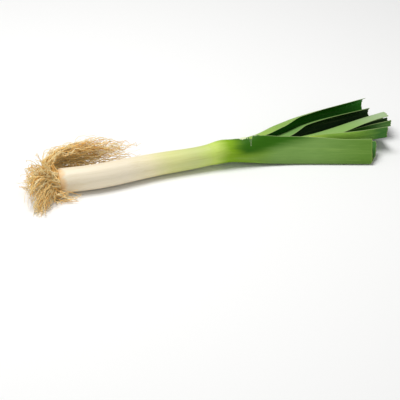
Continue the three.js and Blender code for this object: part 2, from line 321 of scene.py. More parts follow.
def ring_faces(rings, around):
    """Quads between rings of points, each ring closed on itself."""
    i, j = np.meshgrid(np.arange(rings - 1), np.arange(around), indexing="ij")
    here, beside = i * around + j, i * around + (j + 1) % around
    quads = np.stack([here, beside, beside + around, here + around], axis=-1)
    return quads.reshape(-1, 4)


def outward(points, quads):
    """The quads turned, if need be, so that the volume inside them counts as positive."""
    corners = points[quads]
    volume = 0.0
    for a, b, c in ((0, 1, 2), (0, 2, 3)):
        volume += np.einsum("ij,ij->", corners[:, a], np.cross(corners[:, b], corners[:, c]))
    return quads if volume > 0 else quads[:, ::-1]


def closed_rings(name, points):
    """A closed mesh from a grid of rings, with one face over its first ring and one over its last."""
    rings, around = points.shape[:2]
    flat = points.reshape(-1, 3)
    quads = outward(flat, ring_faces(rings, around))
    first = list(range(around))
    last = [(rings - 1) * around + i for i in range(around)]
    caps = [first[::-1], last] if quads[0, 0] == 0 else [first, last[::-1]]
    return make_mesh(name, flat, quads, caps)


def make_mesh(name, points, quads, corners=(), values=None):
    """A smooth mesh from points in plant millimetres.

    corners are further faces of any number of points. values maps an attribute's name to one number
    or one pair for each point.
    """
    mesh = bpy.data.meshes.new(name)
    places = points * MM + ORIGIN
    mesh.from_pydata(places.tolist(), [], quads.tolist() + [list(corner) for corner in corners])
    for label, numbers in (values or {}).items():
        pair = np.ndim(numbers) == 2
        attribute = mesh.attributes.new(label, "FLOAT2" if pair else "FLOAT", "POINT")
        attribute.data.foreach_set("vector" if pair else "value", np.ravel(numbers).astype(np.float32))
    mesh.shade_smooth()
    mesh.update()
    return mesh


def add_piece(name, mesh, material, nodes):
    """Puts a finished mesh into the scene as the piece that stands for the given nodes."""
    piece = bpy.data.objects.new(name, mesh)
    bpy.context.scene.collection.objects.link(piece)
    mesh.materials.append(material)
    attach(piece, "root")
    if nodes:
        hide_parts(*nodes)
    return piece


# ---- materials ----


class Value:
    """A number that varies over a surface: an output socket with the usual operators."""

    def __init__(self, shader, socket):
        self.shader = shader
        self.socket = socket

    def __add__(self, other):
        return self.shader.math("ADD", self, other)

    def __sub__(self, other):
        return self.shader.math("SUBTRACT", self, other)

    def __rsub__(self, other):
        return self.shader.math("SUBTRACT", other, self)

    def __mul__(self, other):
        return self.shader.math("MULTIPLY", self, other)

    def __truediv__(self, other):
        return self.shader.math("DIVIDE", self, other)

    def __rtruediv__(self, other):
        return self.shader.math("DIVIDE", other, self)

    __radd__ = __add__
    __rmul__ = __mul__


SOCKETS = {"specular_ior_level": "Specular IOR Level"}


class Shader:
    """A material's node tree, with one method for every kind of node."""

    def __init__(self, name):
        self.material = bpy.data.materials.new(name)
        self.material.use_nodes = True
        self.tree = self.material.node_tree
        self.surface = self.tree.nodes["Principled BSDF"]

    def node(self, kind, settings=None, inputs=None, output=0):
        """A node of one kind: settings are set first, then each input's number, colour or link."""
        node = self.tree.nodes.new(kind)
        for label, setting in (settings or {}).items():
            if label == "stops":
                self._stops(node.color_ramp, setting)
            else:
                setattr(node, label, setting)
        for label, value in (inputs or {}).items():
            self.feed(node.inputs[label], value)
        return Value(self, node.outputs[output])

    def feed(self, socket, value):
        """Links a Value to a socket, or sets the socket to a number or a colour."""
        if isinstance(value, Value):
            self.tree.links.new(value.socket, socket)
        elif socket.type == "RGBA":
            socket.default_value = (*value[:3], 1.0)
        else:
            socket.default_value = value

    @staticmethod
    def _stops(ramp, stops):
        while len(ramp.elements) < len(stops):
            ramp.elements.new(0.5)
        for element, (place, colour) in zip(ramp.elements, stops):
            element.position = place
            element.color = (*colour[:3], 1.0)

    def math(self, operation, *numbers):
        """One sum of numbers and Values."""
        return self.node("ShaderNodeMath", {"operation": operation}, dict(enumerate(numbers)))

    def mix(self, factor, first, second, blend="MIX"):
        """A colour between two colours."""
        settings = {"data_type": "RGBA", "blend_type": blend, "clamp_factor": True}
        return self.node("ShaderNodeMix", settings, {0: factor, 6: first, 7: second}, output=2)

    def step(self, value, low, high):
        """0 below low, 1 above high, with a soft step between."""
        inputs = {"Value": value, "From Min": low, "From Max": high}
        return self.node("ShaderNodeMapRange", {"interpolation_type": "SMOOTHSTEP"}, inputs)

    def attribute(self, label, output=2):
        """A point attribute: output 2 is its number, output 1 its vector."""
        return self.node("ShaderNodeAttribute", {"attribute_name": label}, output=output)

    def parts(self, vector):
        """The three numbers of a vector."""
        split = self.node("ShaderNodeSeparateXYZ", inputs={0: vector}).socket.node
        return [Value(self, socket) for socket in split.outputs]

    def place(self, stretch=(1.0, 1.0, 1.0)):
        """Object coordinates, stretched."""
        here = self.node("ShaderNodeTexCoord", output=3)
        return self.node("ShaderNodeMapping", {"vector_type": "POINT"}, {"Vector": here, "Scale": stretch})

    def noise(self, vector, scale, detail=2.0, roughness=0.5):
        """Soft noise about 0.5, scale times a metre."""
        inputs = {"Vector": vector, "Scale": scale, "Detail": detail, "Roughness": roughness}
        return self.node("ShaderNodeTexNoise", {"noise_dimensions": "3D"}, inputs)

    def ramp(self, value, stops):
        """A colour by value, from stops of a place and a colour."""
        return self.node("ShaderNodeValToRGB", {"stops": stops}, {0: value})

    def finish(self, colour, roughness, height, relief, **uniform):
        """Feeds the surface: colour and roughness vary, height in metres bumps it, the rest is uniform."""
        self.feed(self.surface.inputs["Base Color"], colour)
        self.feed(self.surface.inputs["Roughness"], roughness)
        bump = self.node("ShaderNodeBump", inputs={"Strength": 1.0, "Distance": relief, "Height": height})
        self.feed(self.surface.inputs["Normal"], bump)
        for label, number in uniform.items():
            self.feed(self.surface.inputs[SOCKETS[label]], number)
        return self.material


def sheath_skin(shader, settings):
    """The skin by distance from the root disc: a tan ring, cream white, then ever greener.

    Returns its colour and its relief, which follow fine lines along the plant.
    """
    x = shader.parts(shader.place())[0]
    wobble = shader.noise(shader.place((0.3, 1, 1)), 90.0, 3.0)
    streak = shader.noise(shader.place((0.03, 1, 1)), 420.0, 4.0, 0.6)
    lines = shader.noise(shader.place((0.012, 1, 1)), 1400.0, 2.0, 0.5)
    distance = x - float(ORIGIN[0]) + (wobble - 0.5) * (20 * MM)
    span = 260 * MM
    stops = [
        (0.0, settings.ring), (1.5, settings.ring), (7, settings.cream), (88, settings.cream),
        (118, settings.warm_cream), (150, settings.pale_green), (180, settings.lime),
        (206, settings.yellow_green), (226, settings.neck_green), (244, settings.leaf_green),
    ]
    skin = shader.ramp(distance / span, [(place * MM / span, colour) for place, colour in stops])
    skin = shader.mix(shader.step(streak, 0.5, 0.75) * 0.3, skin, settings.streak, "MULTIPLY")
    skin = shader.mix(shader.step(lines, 0.5, 0.75) * 0.22, skin, settings.streak, "MULTIPLY")
    skin = shader.mix(shader.step(lines, 0.5, 0.25) * 0.12, skin, settings.glint, "SCREEN")
    return skin, streak * 0.6 + lines * 0.4


def shank_material(settings):
    """Satin skin with fine lengthwise lines, greener towards the neck."""
    shader = Shader("shank_skin")
    skin, relief = sheath_skin(shader, settings)
    return shader.finish(skin, 0.34 + relief * 0.16, relief, 0.3 * MM, specular_ior_level=0.4)


def leaf_material(name, settings, look):
    """Leaf skin: the neck's skin, then the leaf's own greens under a trace of wax bloom, finely veined.

    The strip attribute gives the place along the plant and across from the keel; inner is 1 on the
    leaf's inner face; margin and cut are the distances from its side edge and its cut end.
    """
    shader = Shader(name)
    along, across, _ = shader.parts(shader.attribute("strip", output=1))
    inner = shader.attribute("inner")
    strip = shader.node("ShaderNodeCombineXYZ", inputs={0: along * 0.04, 1: across, 2: inner * 0.5})
    veins = shader.noise(strip, 1000.0, 3.0, 0.65)
    bands = shader.noise(strip, 230.0, 3.0, 0.55)
    blotch = shader.noise(shader.place((0.5, 1, 1)), 38.0, 3.0, 0.5)
    near, far = (place * MM for place in look["reach"])
    reach = along + (blotch - 0.5) * (30 * MM) + (bands - 0.5) * (26 * MM)
    base, middle, end = (linear(*colour) for colour in look["outer"])
    span = far - near
    outer = shader.ramp((reach - near) / span, [(0.0, base), (0.35, middle), (0.65, middle), (1.0, end)])
    rubbed = 0.0
    if look["rubbed"]:  # a dark patch along the upper margin, and longest there
        calm = along + (blotch - 0.5) * (14 * MM) + (bands - 0.5) * (16 * MM)
        upper = shader.step(across, 7 * MM, 17 * MM) * shader.step(calm, 216 * MM, 246 * MM)
        bloomed = shader.step(calm - across * 3.4, 188 * MM, 242 * MM)
        rubbed = upper * (1 - bloomed)
        outer = shader.mix(rubbed, outer, settings.deep_green)
    under = shader.mix(bands, linear(*look["inner"]), linear(*(c * 0.72 for c in look["inner"])))
    blade = shader.mix(inner, outer, under)
    neck, relief = sheath_skin(shader, settings)
    from_neck = shader.step(reach, look["neck"][0] * MM, look["neck"][1] * MM)
    veined = from_neck * (1 - inner * 0.6) * (1 - rubbed)
    skin = shader.mix(from_neck * (1 - inner) + inner, neck, blade)
    skin = shader.mix(shader.step(bands, 0.5, 0.8) * 0.3 * veined, skin, settings.vein)
    skin = shader.mix(shader.step(veins, 0.52, 0.78) * 0.22 * veined, skin, settings.vein)
    between = shader.step(veins, 0.5, 0.2) * 0.4 * from_neck
    skin = shader.mix(between, skin, settings.shadow_green, "MULTIPLY")
    # painted highlight: the thin margins are drawn paler, where their edges catch the light
    margin = shader.attribute("margin")
    edge = 1 - shader.step(margin, 0.1 * MM, 0.9 * MM)
    skin = shader.mix(edge * 0.6, skin, settings.edge)
    if look["rubbed"]:  # the same leaf's torn margin is pale
        torn = shader.step(along, 222 * MM, 228 * MM) * (1 - shader.step(along, 255 * MM, 262 * MM))
        pale = (1 - shader.step(margin + (veins - 0.5) * (2 * MM), 0.5 * MM, 1.8 * MM)) * torn
        skin = shader.mix(pale * 0.45, skin, settings.membrane)
    end = 1 - shader.step(shader.attribute("cut") + (veins - 0.5) * MM, 0.1 * MM, 1.0 * MM)
    skin = shader.mix(end * 0.45, skin, settings.cut)
    height = relief * (1 - from_neck) + (veins * 0.6 + bands * 0.4) * from_neck
    return shader.finish(skin, 0.42 + bands * 0.16, height, 0.3 * MM, specular_ior_level=0.16)


def membrane_material(settings):
    """The skin under the tear: pale and dry below the dip, green below the nick, with fibres along it."""
    shader = Shader("torn_skin")
    along, across, _ = shader.parts(shader.attribute("strip", output=1))
    strip = shader.node("ShaderNodeCombineXYZ", inputs={0: along * 0.3, 1: across})
    fibres = shader.noise(strip, 1300.0, 3.0)
    dry = shader.mix(shader.step(fibres, 0.4, 0.75), settings.membrane, settings.yellow_green)
    fresh = shader.mix(shader.step(fibres, 0.5, 0.8), settings.deep_green, settings.neck_green)
    skin = shader.mix(shader.step(along + (fibres - 0.5) * (4 * MM), 244 * MM, 248 * MM), dry, fresh)
    return shader.finish(skin, 0.5 + fibres * 0.2, fibres, 0.2 * MM)


def root_material(settings):
    """Dry root fibre: each strand has its own tone, with painted shade darkening it where it leaves the
    disc.
    """
    shader = Shader("root_fibre")
    run, tone, _ = shader.parts(shader.attribute("strand", output=1))
    grain = shader.noise(shader.place(), 700.0, 2.0)
    stops = [(0.0, settings.dark), (0.22, settings.tan), (0.5, settings.straw), (0.95, settings.pale)]
    fibre = shader.ramp(tone * 0.8 + grain * 0.3, stops)
    # painted shade: strands are darkened near their feet, where they crowd at the disc
    fibre = shader.mix(0.1 - shader.step(run, 0.0, 0.2) * 0.1, fibre, settings.dark)
    return shader.finish(fibre, 0.7 + grain * 0.15, grain, 0.15 * MM, specular_ior_level=0.2)


def disc_material(settings):
    """Corky tan disc."""
    shader = Shader("root_disc")
    grain = shader.noise(shader.place(), 420.0, 5.0, 0.65)
    stops = [(0.2, settings.dark), (0.45, settings.tan), (0.7, settings.straw)]
    return shader.finish(shader.ramp(grain, stops), 0.75 + grain * 0.2, grain, 0.8 * MM)


def floor_material(pale):
    """Plain pale floor with a trace of unevenness."""
    shader = Shader("pale_floor")
    cloud = shader.noise(shader.place(), 1.5, 2.0)
    colour = shader.mix(cloud * 0.04, pale, (0.6, 0.6, 0.6))
    return shader.finish(colour, 0.6 + cloud * 0.1, cloud, 0.1 * MM)


# ---- shank ----


def outer_radius(x):
    """The leek's radius over its sheaths: soft steps from base to waist and from waist to neck, rounded
    in where it meets the disc."""
    radius = BASE_RADIUS + (WAIST_RADIUS - BASE_RADIUS) * smooth(x, 50, WAIST_X)
    radius = radius + (NECK_RADIUS - WAIST_RADIUS) * smooth(x, WAIST_X, NECK_X)
    return radius - 1.6 * (1 - np.sqrt(smooth(x, -1, 5)))


def axis_at(x):
    """The y and z of the shank's axis where it has come as far as x."""
    places, _ = Path(SHANK_AXIS).at(np.linspace(0, 1, 400))
    return np.stack([np.interp(x, places[:, 0], places[:, k]) for k in (1, 2)], axis=-1)


def shank_mesh(settings):
    """A round stalk: radius r(x) times 1 + about one per cent of cos(2a) and half as much of cos(3a),
    which turn slowly with x, plus shallow lengthwise ridges that soft random lines of the angle a make.

    It ends square where the sheath of the outer leaf takes over, with a thinner plug inside that.
    """
    rng = np.random.default_rng(settings.seed)
    around = 120
    x = np.concatenate([
        [0.0, 0.0, 0.15, 0.5, 1.0, 1.8, 3.0, 4.5, 6.5, 9.0],
        np.linspace(12, SHEATH_X - 2, 96),
        [SHEATH_X, SHEATH_X + 0.02, SHEATH_X + 0.02, 208.0, PLUG_X, PLUG_X],
    ])
    angle = np.linspace(0, 2 * np.pi, around, endpoint=False)
    radius = outer_radius(x)
    radius[:2] = 1.0, radius[2] - 0.6
    radius[-4:-1] -= PLUG_STEP
    radius[-1] = 1.0
    centre = axis_at(x)
    turn = angle[None, :]
    flat = 0.012 * np.cos(2 * turn + 0.9 + x[:, None] / 70) + 0.006 * np.cos(3 * turn + x[:, None] / 55)
    flat *= (smooth(x, 2, 12) * (1 - smooth(x, 150, 195)))[:, None]
    ridge = wander(rng, angle * 6.2, 1.0, 0.16) + wander(rng, angle * 19, 1.0, 0.06)
    ridge = ridge * smooth(np.abs(np.pi - angle), np.pi, np.pi - 0.3)
    ridge = ridge[None, :] * (smooth(x, 4, 14) * (1 - smooth(x, SHEATH_X - 60, SHEATH_X - 5)))[:, None]
    lift = radius[:, None] * (1 + flat) + ridge
    points = np.stack([
        np.broadcast_to(x[:, None], lift.shape),
        centre[:, :1] + lift * np.cos(turn),
        centre[:, 1:] + lift * np.sin(turn),
    ], axis=-1)
    points[..., 2] = np.maximum(points[..., 2], 0.0)
    return closed_rings("white_shank", points)


# ---- leaves ----


def leaf_shares():
    """Shares of a leaf's length at which its surface is worked out, closer at its neck and its end."""
    neck = np.linspace(0.00005, 0.3, 150)[:-1]
    blade = np.linspace(0.3, 0.994, 130)
    return np.concatenate([[0.0], neck, blade, [0.998, 1.0]])


def leaf_side(leaf, share, side, width, wave, samples):
    """How one wall of the strip bends, from the keel (0) out to its margin (width).

    The strip's direction at a distance a from the keel is, while the leaf is a sheath, that of a
    circle of radius wrap, and once it is open, the fold's angle plus a turn that fades as
    exp(-a / KEEL_ROUND). bow and wave add a turn that grows with the square of a. Cosine and sine of
    the direction, summed over a, give how far each point is along the opening and to the side.
    """
    closed = (1 - smooth(share, *leaf["opens"]))[:, None]
    fold = np.radians(graded(leaf, "fold", share))[:, None]
    bow = np.radians(graded(leaf, "bow", share) + wave)[:, None]
    part = np.linspace(0, 1, samples)[None, :]
    a = part * width[:, None]
    open_turn = fold + (np.pi / 2 - fold) * np.exp(-a / KEEL_ROUND) + bow * part**2
    turn = closed * (np.pi / 2 - a / graded(leaf, "wrap", share)[:, None]) + (1 - closed) * open_turn
    step = (width / (samples - 1))[:, None]
    start = np.zeros((len(share), 1))
    ahead, aside = (
        np.concatenate([start, np.cumsum((f[:, 1:] + f[:, :-1]) / 2, axis=1) * step], axis=1)
        for f in (np.cos(turn), np.sin(turn))
    )
    reach = leaf.get("slant_reach", NO_FADE)
    lean = leaf["slant"][0 if side > 0 else 1] * smooth(share, 0.5, 1.0)
    run = lean[:, None] * reach * (1 - np.exp(-ahead / reach))
    return {"side": side, "a": a, "turn": turn, "ahead": ahead, "aside": aside, "run": run}


def leaf_place(leaf, share, wall, depth):
    """Points of a wall, depth inside its outer face: from the keel along the opening and across it."""
    path = Path(leaf["keel"])
    keel, forward = path.at(share)
    level = cross_unit(np.broadcast_to([0.0, 0.0, 1.0], forward.shape), forward)
    up = np.cross(forward, level)
    tilt = np.radians(graded(leaf, "tilt", share))[:, None]
    hand = leaf["hand"]
    opening = level * hand * np.cos(tilt) + up * np.sin(tilt)
    across = up * np.cos(tilt) - level * hand * np.sin(tilt)
    points = (
        keel[:, None, :]
        + opening[:, None, :] * (wall["ahead"] + depth * np.sin(wall["turn"]))[..., None]
        + across[:, None, :] * (wall["side"] * (wall["aside"] - depth * np.cos(wall["turn"])))[..., None]
        + forward[:, None, :] * wall["run"][..., None]
    )
    if keel[0, 0] < NECK_X - 10:  # only a strip that starts as the outer sheath
        points = on_sheath(points, keel[:, 0], depth)
    return points


def on_sheath(points, x, depth):
    """Draws the start of the outer sheath onto the round skin that the shank ends with."""
    square = (1 - smooth(x, SHEATH_X, SHEATH_X + 14))[:, None]
    places = points.copy()
    places[..., 0] += square * (x[:, None] - points[..., 0])
    centre = axis_at(places[..., 0])
    off = places[..., 1:] - centre
    distance = np.linalg.norm(off, axis=-1)
    round_skin = outer_radius(places[..., 0]) - depth
    pull = (1 - smooth(x, SHEATH_X + 8, SHEATH_X + 38))[:, None]
    places[..., 1:] += off * (pull * (round_skin / distance - 1))[..., None]
    return places


def leaf_mesh(name, leaf, settings, tear=None):
    """A folded leaf as a closed strip: an outer and an inner skin, thick at the keel and thin at the
    margins, joined along the margins, at the base and at the ragged cut end."""
    rng = np.random.default_rng(leaf["seed"])
    share = leaf_shares()
    length = Path(leaf["keel"]).length
    x = leaf["keel"][0][0] + share * length
    last = WALL_SAMPLES - 1
    picked = np.round(last * np.linspace(0, 1, 40) ** 1.1).astype(int)
    picked = np.unique(np.concatenate([picked, [1, last - 1]]))
    walls = []
    for side, label in ((-1, "lower"), (1, "upper")):
        width = graded(leaf, label, share) + wander(rng, x, 38, settings.waviness) * smooth(share, 0.2, 0.5)
        if tear is not None:
            width = width - tear(x, side)
        wave = wander(rng, x, 34, settings.wave_angle) * smooth(share, 0.4, 0.8)
        wall = leaf_side(leaf, share, side, width, wave, WALL_SAMPLES)
        keep = picked if side > 0 else picked[:0:-1]
        for part in WALL_PARTS:
            wall[part] = wall[part][:, keep]
        wall["from_margin"] = width[:, None] - wall["a"]
        walls.append(wall)

    total = 2 * len(picked) - 1
    jag = wander(rng, np.linspace(0, 70, total), 1.9, settings.raggedness)
    jag = jag + wander(rng, np.linspace(0, 70, total), 7.0, settings.raggedness * 1.2)
    jag = np.split(jag[None, :] * smooth(share, 0.93, 1.0)[:, None], [len(picked) - 1], axis=1)
    skins = []
    for inside in (0.0, 1.0):
        columns = []
        for wall, ragged in zip(walls, jag):
            rib = RIB_HEIGHT * np.exp(-((wall["a"] / RIB_WIDTH) ** 2)) * smooth(share, 0.15, 0.4)[:, None]
            spare = settings.keel_thickness - settings.margin_thickness
            thick = settings.margin_thickness + spare * np.exp(-wall["a"] / THIN_OUT)
            depth = thick * inside - rib * (1 - inside)
            wall = {**wall, "run": wall["run"] + ragged}
            columns.append(leaf_place(leaf, share, wall, depth))
        skins.append(np.concatenate(columns, axis=1))
    strip_across = np.concatenate([wall["side"] * wall["a"] for wall in walls], axis=1)
    from_margin = np.concatenate([wall["from_margin"] for wall in walls], axis=1)
    strip_along = np.broadcast_to(x[:, None], strip_across.shape)
    from_cut = np.broadcast_to(((1 - share) * length)[:, None], strip_across.shape)
    grids = {"along": strip_along, "across": strip_across, "margin": from_margin, "cut": from_cut}
    return strip_mesh(name, skins, grids)


def strip_mesh(name, skins, grids):
    """A closed strip from its outer and inner skins, two grids of the same size. The grids of values
    hold for both skins."""
    rows, columns = skins[0].shape[:2]
    around = 2 * columns
    points = np.concatenate([skins[0], skins[1][:, ::-1]], axis=1).reshape(-1, 3)
    points[:, 2] = np.maximum(points[:, 2], 0.05)
    j = np.arange(columns - 1)
    cap = np.stack([j, around - 1 - j, around - 2 - j, j + 1], axis=-1)
    quads = np.concatenate([ring_faces(rows, around), cap, cap[:, ::-1] + (rows - 1) * around])
    both = {label: np.concatenate([grid, grid[:, ::-1]], axis=1) for label, grid in grids.items()}
    inner = np.zeros((rows, around))
    inner[:, columns:] = 1
    values = {
        "strip": np.stack([both["along"], both["across"]], axis=-1).reshape(-1, 2) * MM,
        "inner": inner.ravel(),
        "margin": both["margin"].ravel() * MM,
        "cut": both["cut"].ravel() * MM,
    }
    return make_mesh(name, points, outward(points, quads), values=values)


def sheath_tear(x, side):
    """How far the outer leaf's edge is torn back where its sheath opens: a dip of two bell curves, a
    ragged fringe of soft random lines and a deep pointed nick with a smaller one beside it."""
    rng = np.random.default_rng(TEAR_SEED)
    fringe = wander(rng, x, 0.9, 0.7) + wander(rng, x, 2.6, 0.9)
    if side < 0:
        return fringe * smooth(x, 212, 220) * (1 - smooth(x, 262, 275)) * 0.5
    near = smooth(x, 219, 226) * (1 - smooth(x, 258, 268))
    dip = 6.5 * np.exp(-(((x - DIP_X) / 4.6) ** 2)) + 2.0 * np.exp(-((x - 229.5) ** 2))
    nick = 15.5 * np.clip(1 - np.abs(x - NICK_X) / np.where(x < NICK_X, 3.4, 2.3), 0, 1) ** 1.25
    nick = nick + 5.5 * np.clip(1 - np.abs(x - 246.2) / 1.2, 0, 1)
    return near * (dip + nick + fringe)


def membrane_mesh():
    """The thin skin that shows where the sheath has torn: a strip that lies just inside the outer
    leaf, from well below the torn edge to a ragged edge of its own."""
    leaf = LEAVES["outer_leaf_front"]
    rng = np.random.default_rng(TORN_SKIN_SEED)
    path = Path(leaf["keel"])
    share = (np.linspace(224, 262, 150) - leaf["keel"][0][0]) / path.length
    x = leaf["keel"][0][0] + share * path.length
    ends = smooth(x, 228, 234) * (1 - smooth(x, 243, 247))
    ragged = wander(rng, x, 0.8, 1.4) + wander(rng, x, 3.0, 1.4)
    width = graded(leaf, "upper", share) - 4.5 + ends * (5.5 + ragged)
    wall = leaf_side(leaf, share, 1, width, np.zeros_like(x), 121)
    for part in WALL_PARTS:
        wall[part] = wall[part][:, 40::4]
    lift = 0.5 * ends[:, None] * smooth(np.linspace(0, 1, wall["a"].shape[1]), 0.5, 1.0)[None, :]
    skins = [leaf_place(leaf, share, wall, depth - lift) for depth in (1.25, 1.45)]
    grid = np.broadcast_to(x[:, None], wall["a"].shape)
    grids = {"along": grid, "across": wall["a"], "margin": width[:, None] - wall["a"], "cut": grid}
    return strip_mesh("torn_sheath_skin", skins, grids)


# ---- roots ----


def strand_mesh(name, lock, seed, settings):
    """A lock of roots: every strand follows the lock's centre line for a length of its own, moved
    off it by a spread that grows from the disc outwards and by three waves of falling length.

    A strand is a three-sided tube whose radius falls towards its tip; both ends are closed.
    """
    rng = np.random.default_rng(seed)
    count = settings.strands
    angle, rise, *rest = lock
    turn = np.radians(angle + rng.uniform(-26, 26, (count, 1)))
    disc = settings.disc_radius * np.clip(rise + rng.uniform(-0.35, 0.24, (count, 1)), 0.05, 1.05)
    foot_x = -5.2 + 4.4 * (disc / settings.disc_radius) ** 3
    foot = np.stack([foot_x, disc * np.cos(turn), BASE_RADIUS + disc * np.sin(turn)], axis=-1)
    middle_foot = foot.mean(axis=0)[0]
    path = Path([tuple(middle_foot), *rest])
    run = np.linspace(0, 1, STRAND_RINGS)[None, :]
    reach = rng.uniform(0.4, 1.05, (count, 1)) ** 0.8
    centre, _ = path.at(reach * run)
    s = (reach * run)[..., None]
    scatter = rng.normal(0, 1, (count, 1, 3))
    scatter *= rng.uniform(0.2, 1, (count, 1, 1)) / np.linalg.norm(scatter, axis=-1, keepdims=True)
    places = centre + (foot - middle_foot) * (1 - smooth(s, 0.0, 0.35))
    places = places + scatter * settings.spread * smooth(s, 0.0, 0.6)
    for wavelength, size in STRAND_WAVES:
        phase = rng.uniform(0, 2 * np.pi, (count, 1, 3))
        pace = rng.uniform(0.7, 1.3, (count, 1, 3)) * 2 * np.pi * path.length / wavelength
        push = rng.uniform(0.3, 1, (count, 1, 3)) * size * settings.curl
        places = places + push * (np.sin(pace * s + phase) - np.sin(phase)) * smooth(s, 0.0, 0.5)
    places = clear_of_shank(places)
    thick = rng.uniform(0.6, 1.25, (count, 1)) * settings.thickness * (1 - 0.6 * run**1.3)
    places[..., 2] = np.maximum(places[..., 2], thick + 0.1 + 2.5 * rng.random((count, 1)))

    forward = np.gradient(places, axis=1)
    forward /= np.linalg.norm(forward, axis=-1, keepdims=True)
    half_way = places[:, STRAND_RINGS // 2]
    side = np.cross(half_way - places[:, 0], places[:, -1] - places[:, 0])[:, None, :]
    side = side + rng.normal(0, 0.05, (count, 1, 3))
    normal = cross_unit(forward, np.broadcast_to(side, forward.shape))
    binormal = np.cross(forward, normal)
    corner = np.linspace(0, 2 * np.pi, STRAND_SIDES, endpoint=False)
    tubes = (
        places[:, :, None, :]
        + normal[:, :, None, :] * (thick[..., None] * np.cos(corner))[..., None]
        + binormal[:, :, None, :] * (thick[..., None] * np.sin(corner))[..., None]
    )
    points = tubes.reshape(-1, 3)
    firsts = np.arange(count) * STRAND_RINGS * STRAND_SIDES
    quads = (ring_faces(STRAND_RINGS, STRAND_SIDES)[None] + firsts[:, None, None]).reshape(-1, 4)
    tips = (STRAND_RINGS - 1) * STRAND_SIDES
    caps = [(f, f + 2, f + 1) for f in firsts] + [(f + tips, f + tips + 1, f + tips + 2) for f in firsts]
    tone = rng.random((count, 1)) + 0 * run
    strand = np.stack([run + 0 * tone, tone], axis=-1)
    values = {"strand": np.repeat(strand[:, :, None, :], STRAND_SIDES, axis=2).reshape(-1, 2)}
    return make_mesh(name, points, quads, caps, values)


def clear_of_shank(places):
    """Moves what would run through the shank or the disc straight away from the axis, to just beyond
    the skin."""
    x = places[..., 0]
    centre = axis_at(x)
    off = places[..., 1:] - centre
    distance = np.linalg.norm(off, axis=-1)
    keep = (outer_radius(np.maximum(x, 0)) + 0.8) * smooth(x, -8, -1)
    grow = np.maximum(keep / np.maximum(distance, 0.1), 1.0)
    moved = places.copy()
    moved[..., 1:] = centre + off * grow[..., None]
    return moved


def disc_mesh(settings):
    """The root disc: a shallow dome from pole (t = 0) to pole (t = 1). Its radius goes as sin(pi t) to
    the power 0.6, and its height falls in a soft step from the first pole to the rim (t = 0.5), past
    which it is flat. Soft random lines roughen both."""
    rng = np.random.default_rng(settings.seed)
    around, rings = 72, 26
    angle = np.linspace(0, 2 * np.pi, around, endpoint=False)
    run = np.linspace(0, 1, rings)
    out = np.sin(np.pi * np.clip(run, 0.02, 0.98)) ** 0.6
    rough = wander(rng, np.add.outer(run * 31, np.sin(angle) * 9 + np.cos(angle) * 7), 0.8, 0.5)
    rim = settings.disc_radius + DISC_LIP
    radius = rim * out[:, None] * (1 + 0.01 * np.cos(3 * angle)) + 0.6 * rough * out[:, None]
    bulge = 0.5 * rough * (smooth(run, 0.0, 0.1) * (1 - smooth(run, 0.5, 0.8)))[:, None]
    x = np.minimum(-DISC_HEIGHT * smooth(1 - run, 0.5, 1.0)[:, None] - 0.05 + bulge, -0.05)
    points = np.stack([x, radius * np.cos(angle), BASE_RADIUS + radius * np.sin(angle)], axis=-1)
    return closed_rings("root_disc", points)


# ---- settings ----


def shade(label, text, red, green, blue):
    """A colour property with its default in sRGB."""
    default = linear(red, green, blue)
    return bpy.props.FloatVectorProperty(
        name=label, description=text, subtype="COLOR", size=3, min=0, max=1, default=default,
    )


def amount(label, text, default, low=0.0, high=100.0):
    """A plain number property."""
    return bpy.props.FloatProperty(name=label, description=text, default=default, min=low, max=high)


class LeekSkinSettings(bpy.types.PropertyGroup):
    """Colours of the shank and of the leaves, and how the leaves are roughened."""

    seed: bpy.props.IntProperty(name="Seed", description="Start of the shank's random ridges", default=4)
    ring: shade("Base ring", "Tan ring where the shank meets the root disc", 236, 202, 152)
    cream: shade("Cream", "The white part of the shank", 240, 228, 202)
    warm_cream: shade("Warm cream", "The shank where it begins to yellow", 238, 228, 186)
    pale_green: shade("Pale green", "The shank where it begins to green", 220, 221, 148)
    lime: shade("Lime", "The shank below the neck", 205, 214, 138)
    yellow_green: shade("Yellow green", "The shank at the neck", 198, 219, 108)
    neck_green: shade("Neck green", "Where the leaves part", 136, 176, 28)
    leaf_green: shade("Leaf green", "The outer sheath past the neck", 120, 162, 16)
    streak: shade("Streak", "Tint of the fine darker lines along the shank", 226, 214, 176)
    glint: shade("Glint", "Tint of the fine lighter lines along the shank", 150, 146, 120)
    deep_green: shade("Deep green", "The outer leaf where its bloom is rubbed off", 47, 99, 0)
    shadow_green: shade("Shadow green", "Tint of the darker lines between the veins", 186, 206, 170)
    vein: shade("Vein", "Fine pale veins", 158, 190, 98)
    membrane: shade("Membrane", "Torn skin at the neck", 236, 240, 208)
    # painted highlight along the leaves' margins
    edge: shade("Edge", "The leaves' margins", 176, 200, 130)
    cut: shade("Cut", "The leaves' cut ends", 186, 190, 112)
    waviness: amount("Waviness", "How far the margins wander, in millimetres", 0.6)
    wave_angle: amount("Wave", "How far the walls wander, in degrees", 1.5)
    raggedness: amount("Raggedness", "How ragged the cut ends are, in millimetres", 0.55)
    keel_thickness: amount("Keel thickness", "A leaf's thickness at its midrib, in millimetres", 1.3)
    margin_thickness: amount("Margin thickness", "A leaf's thickness at its margins, in millimetres", 0.55)


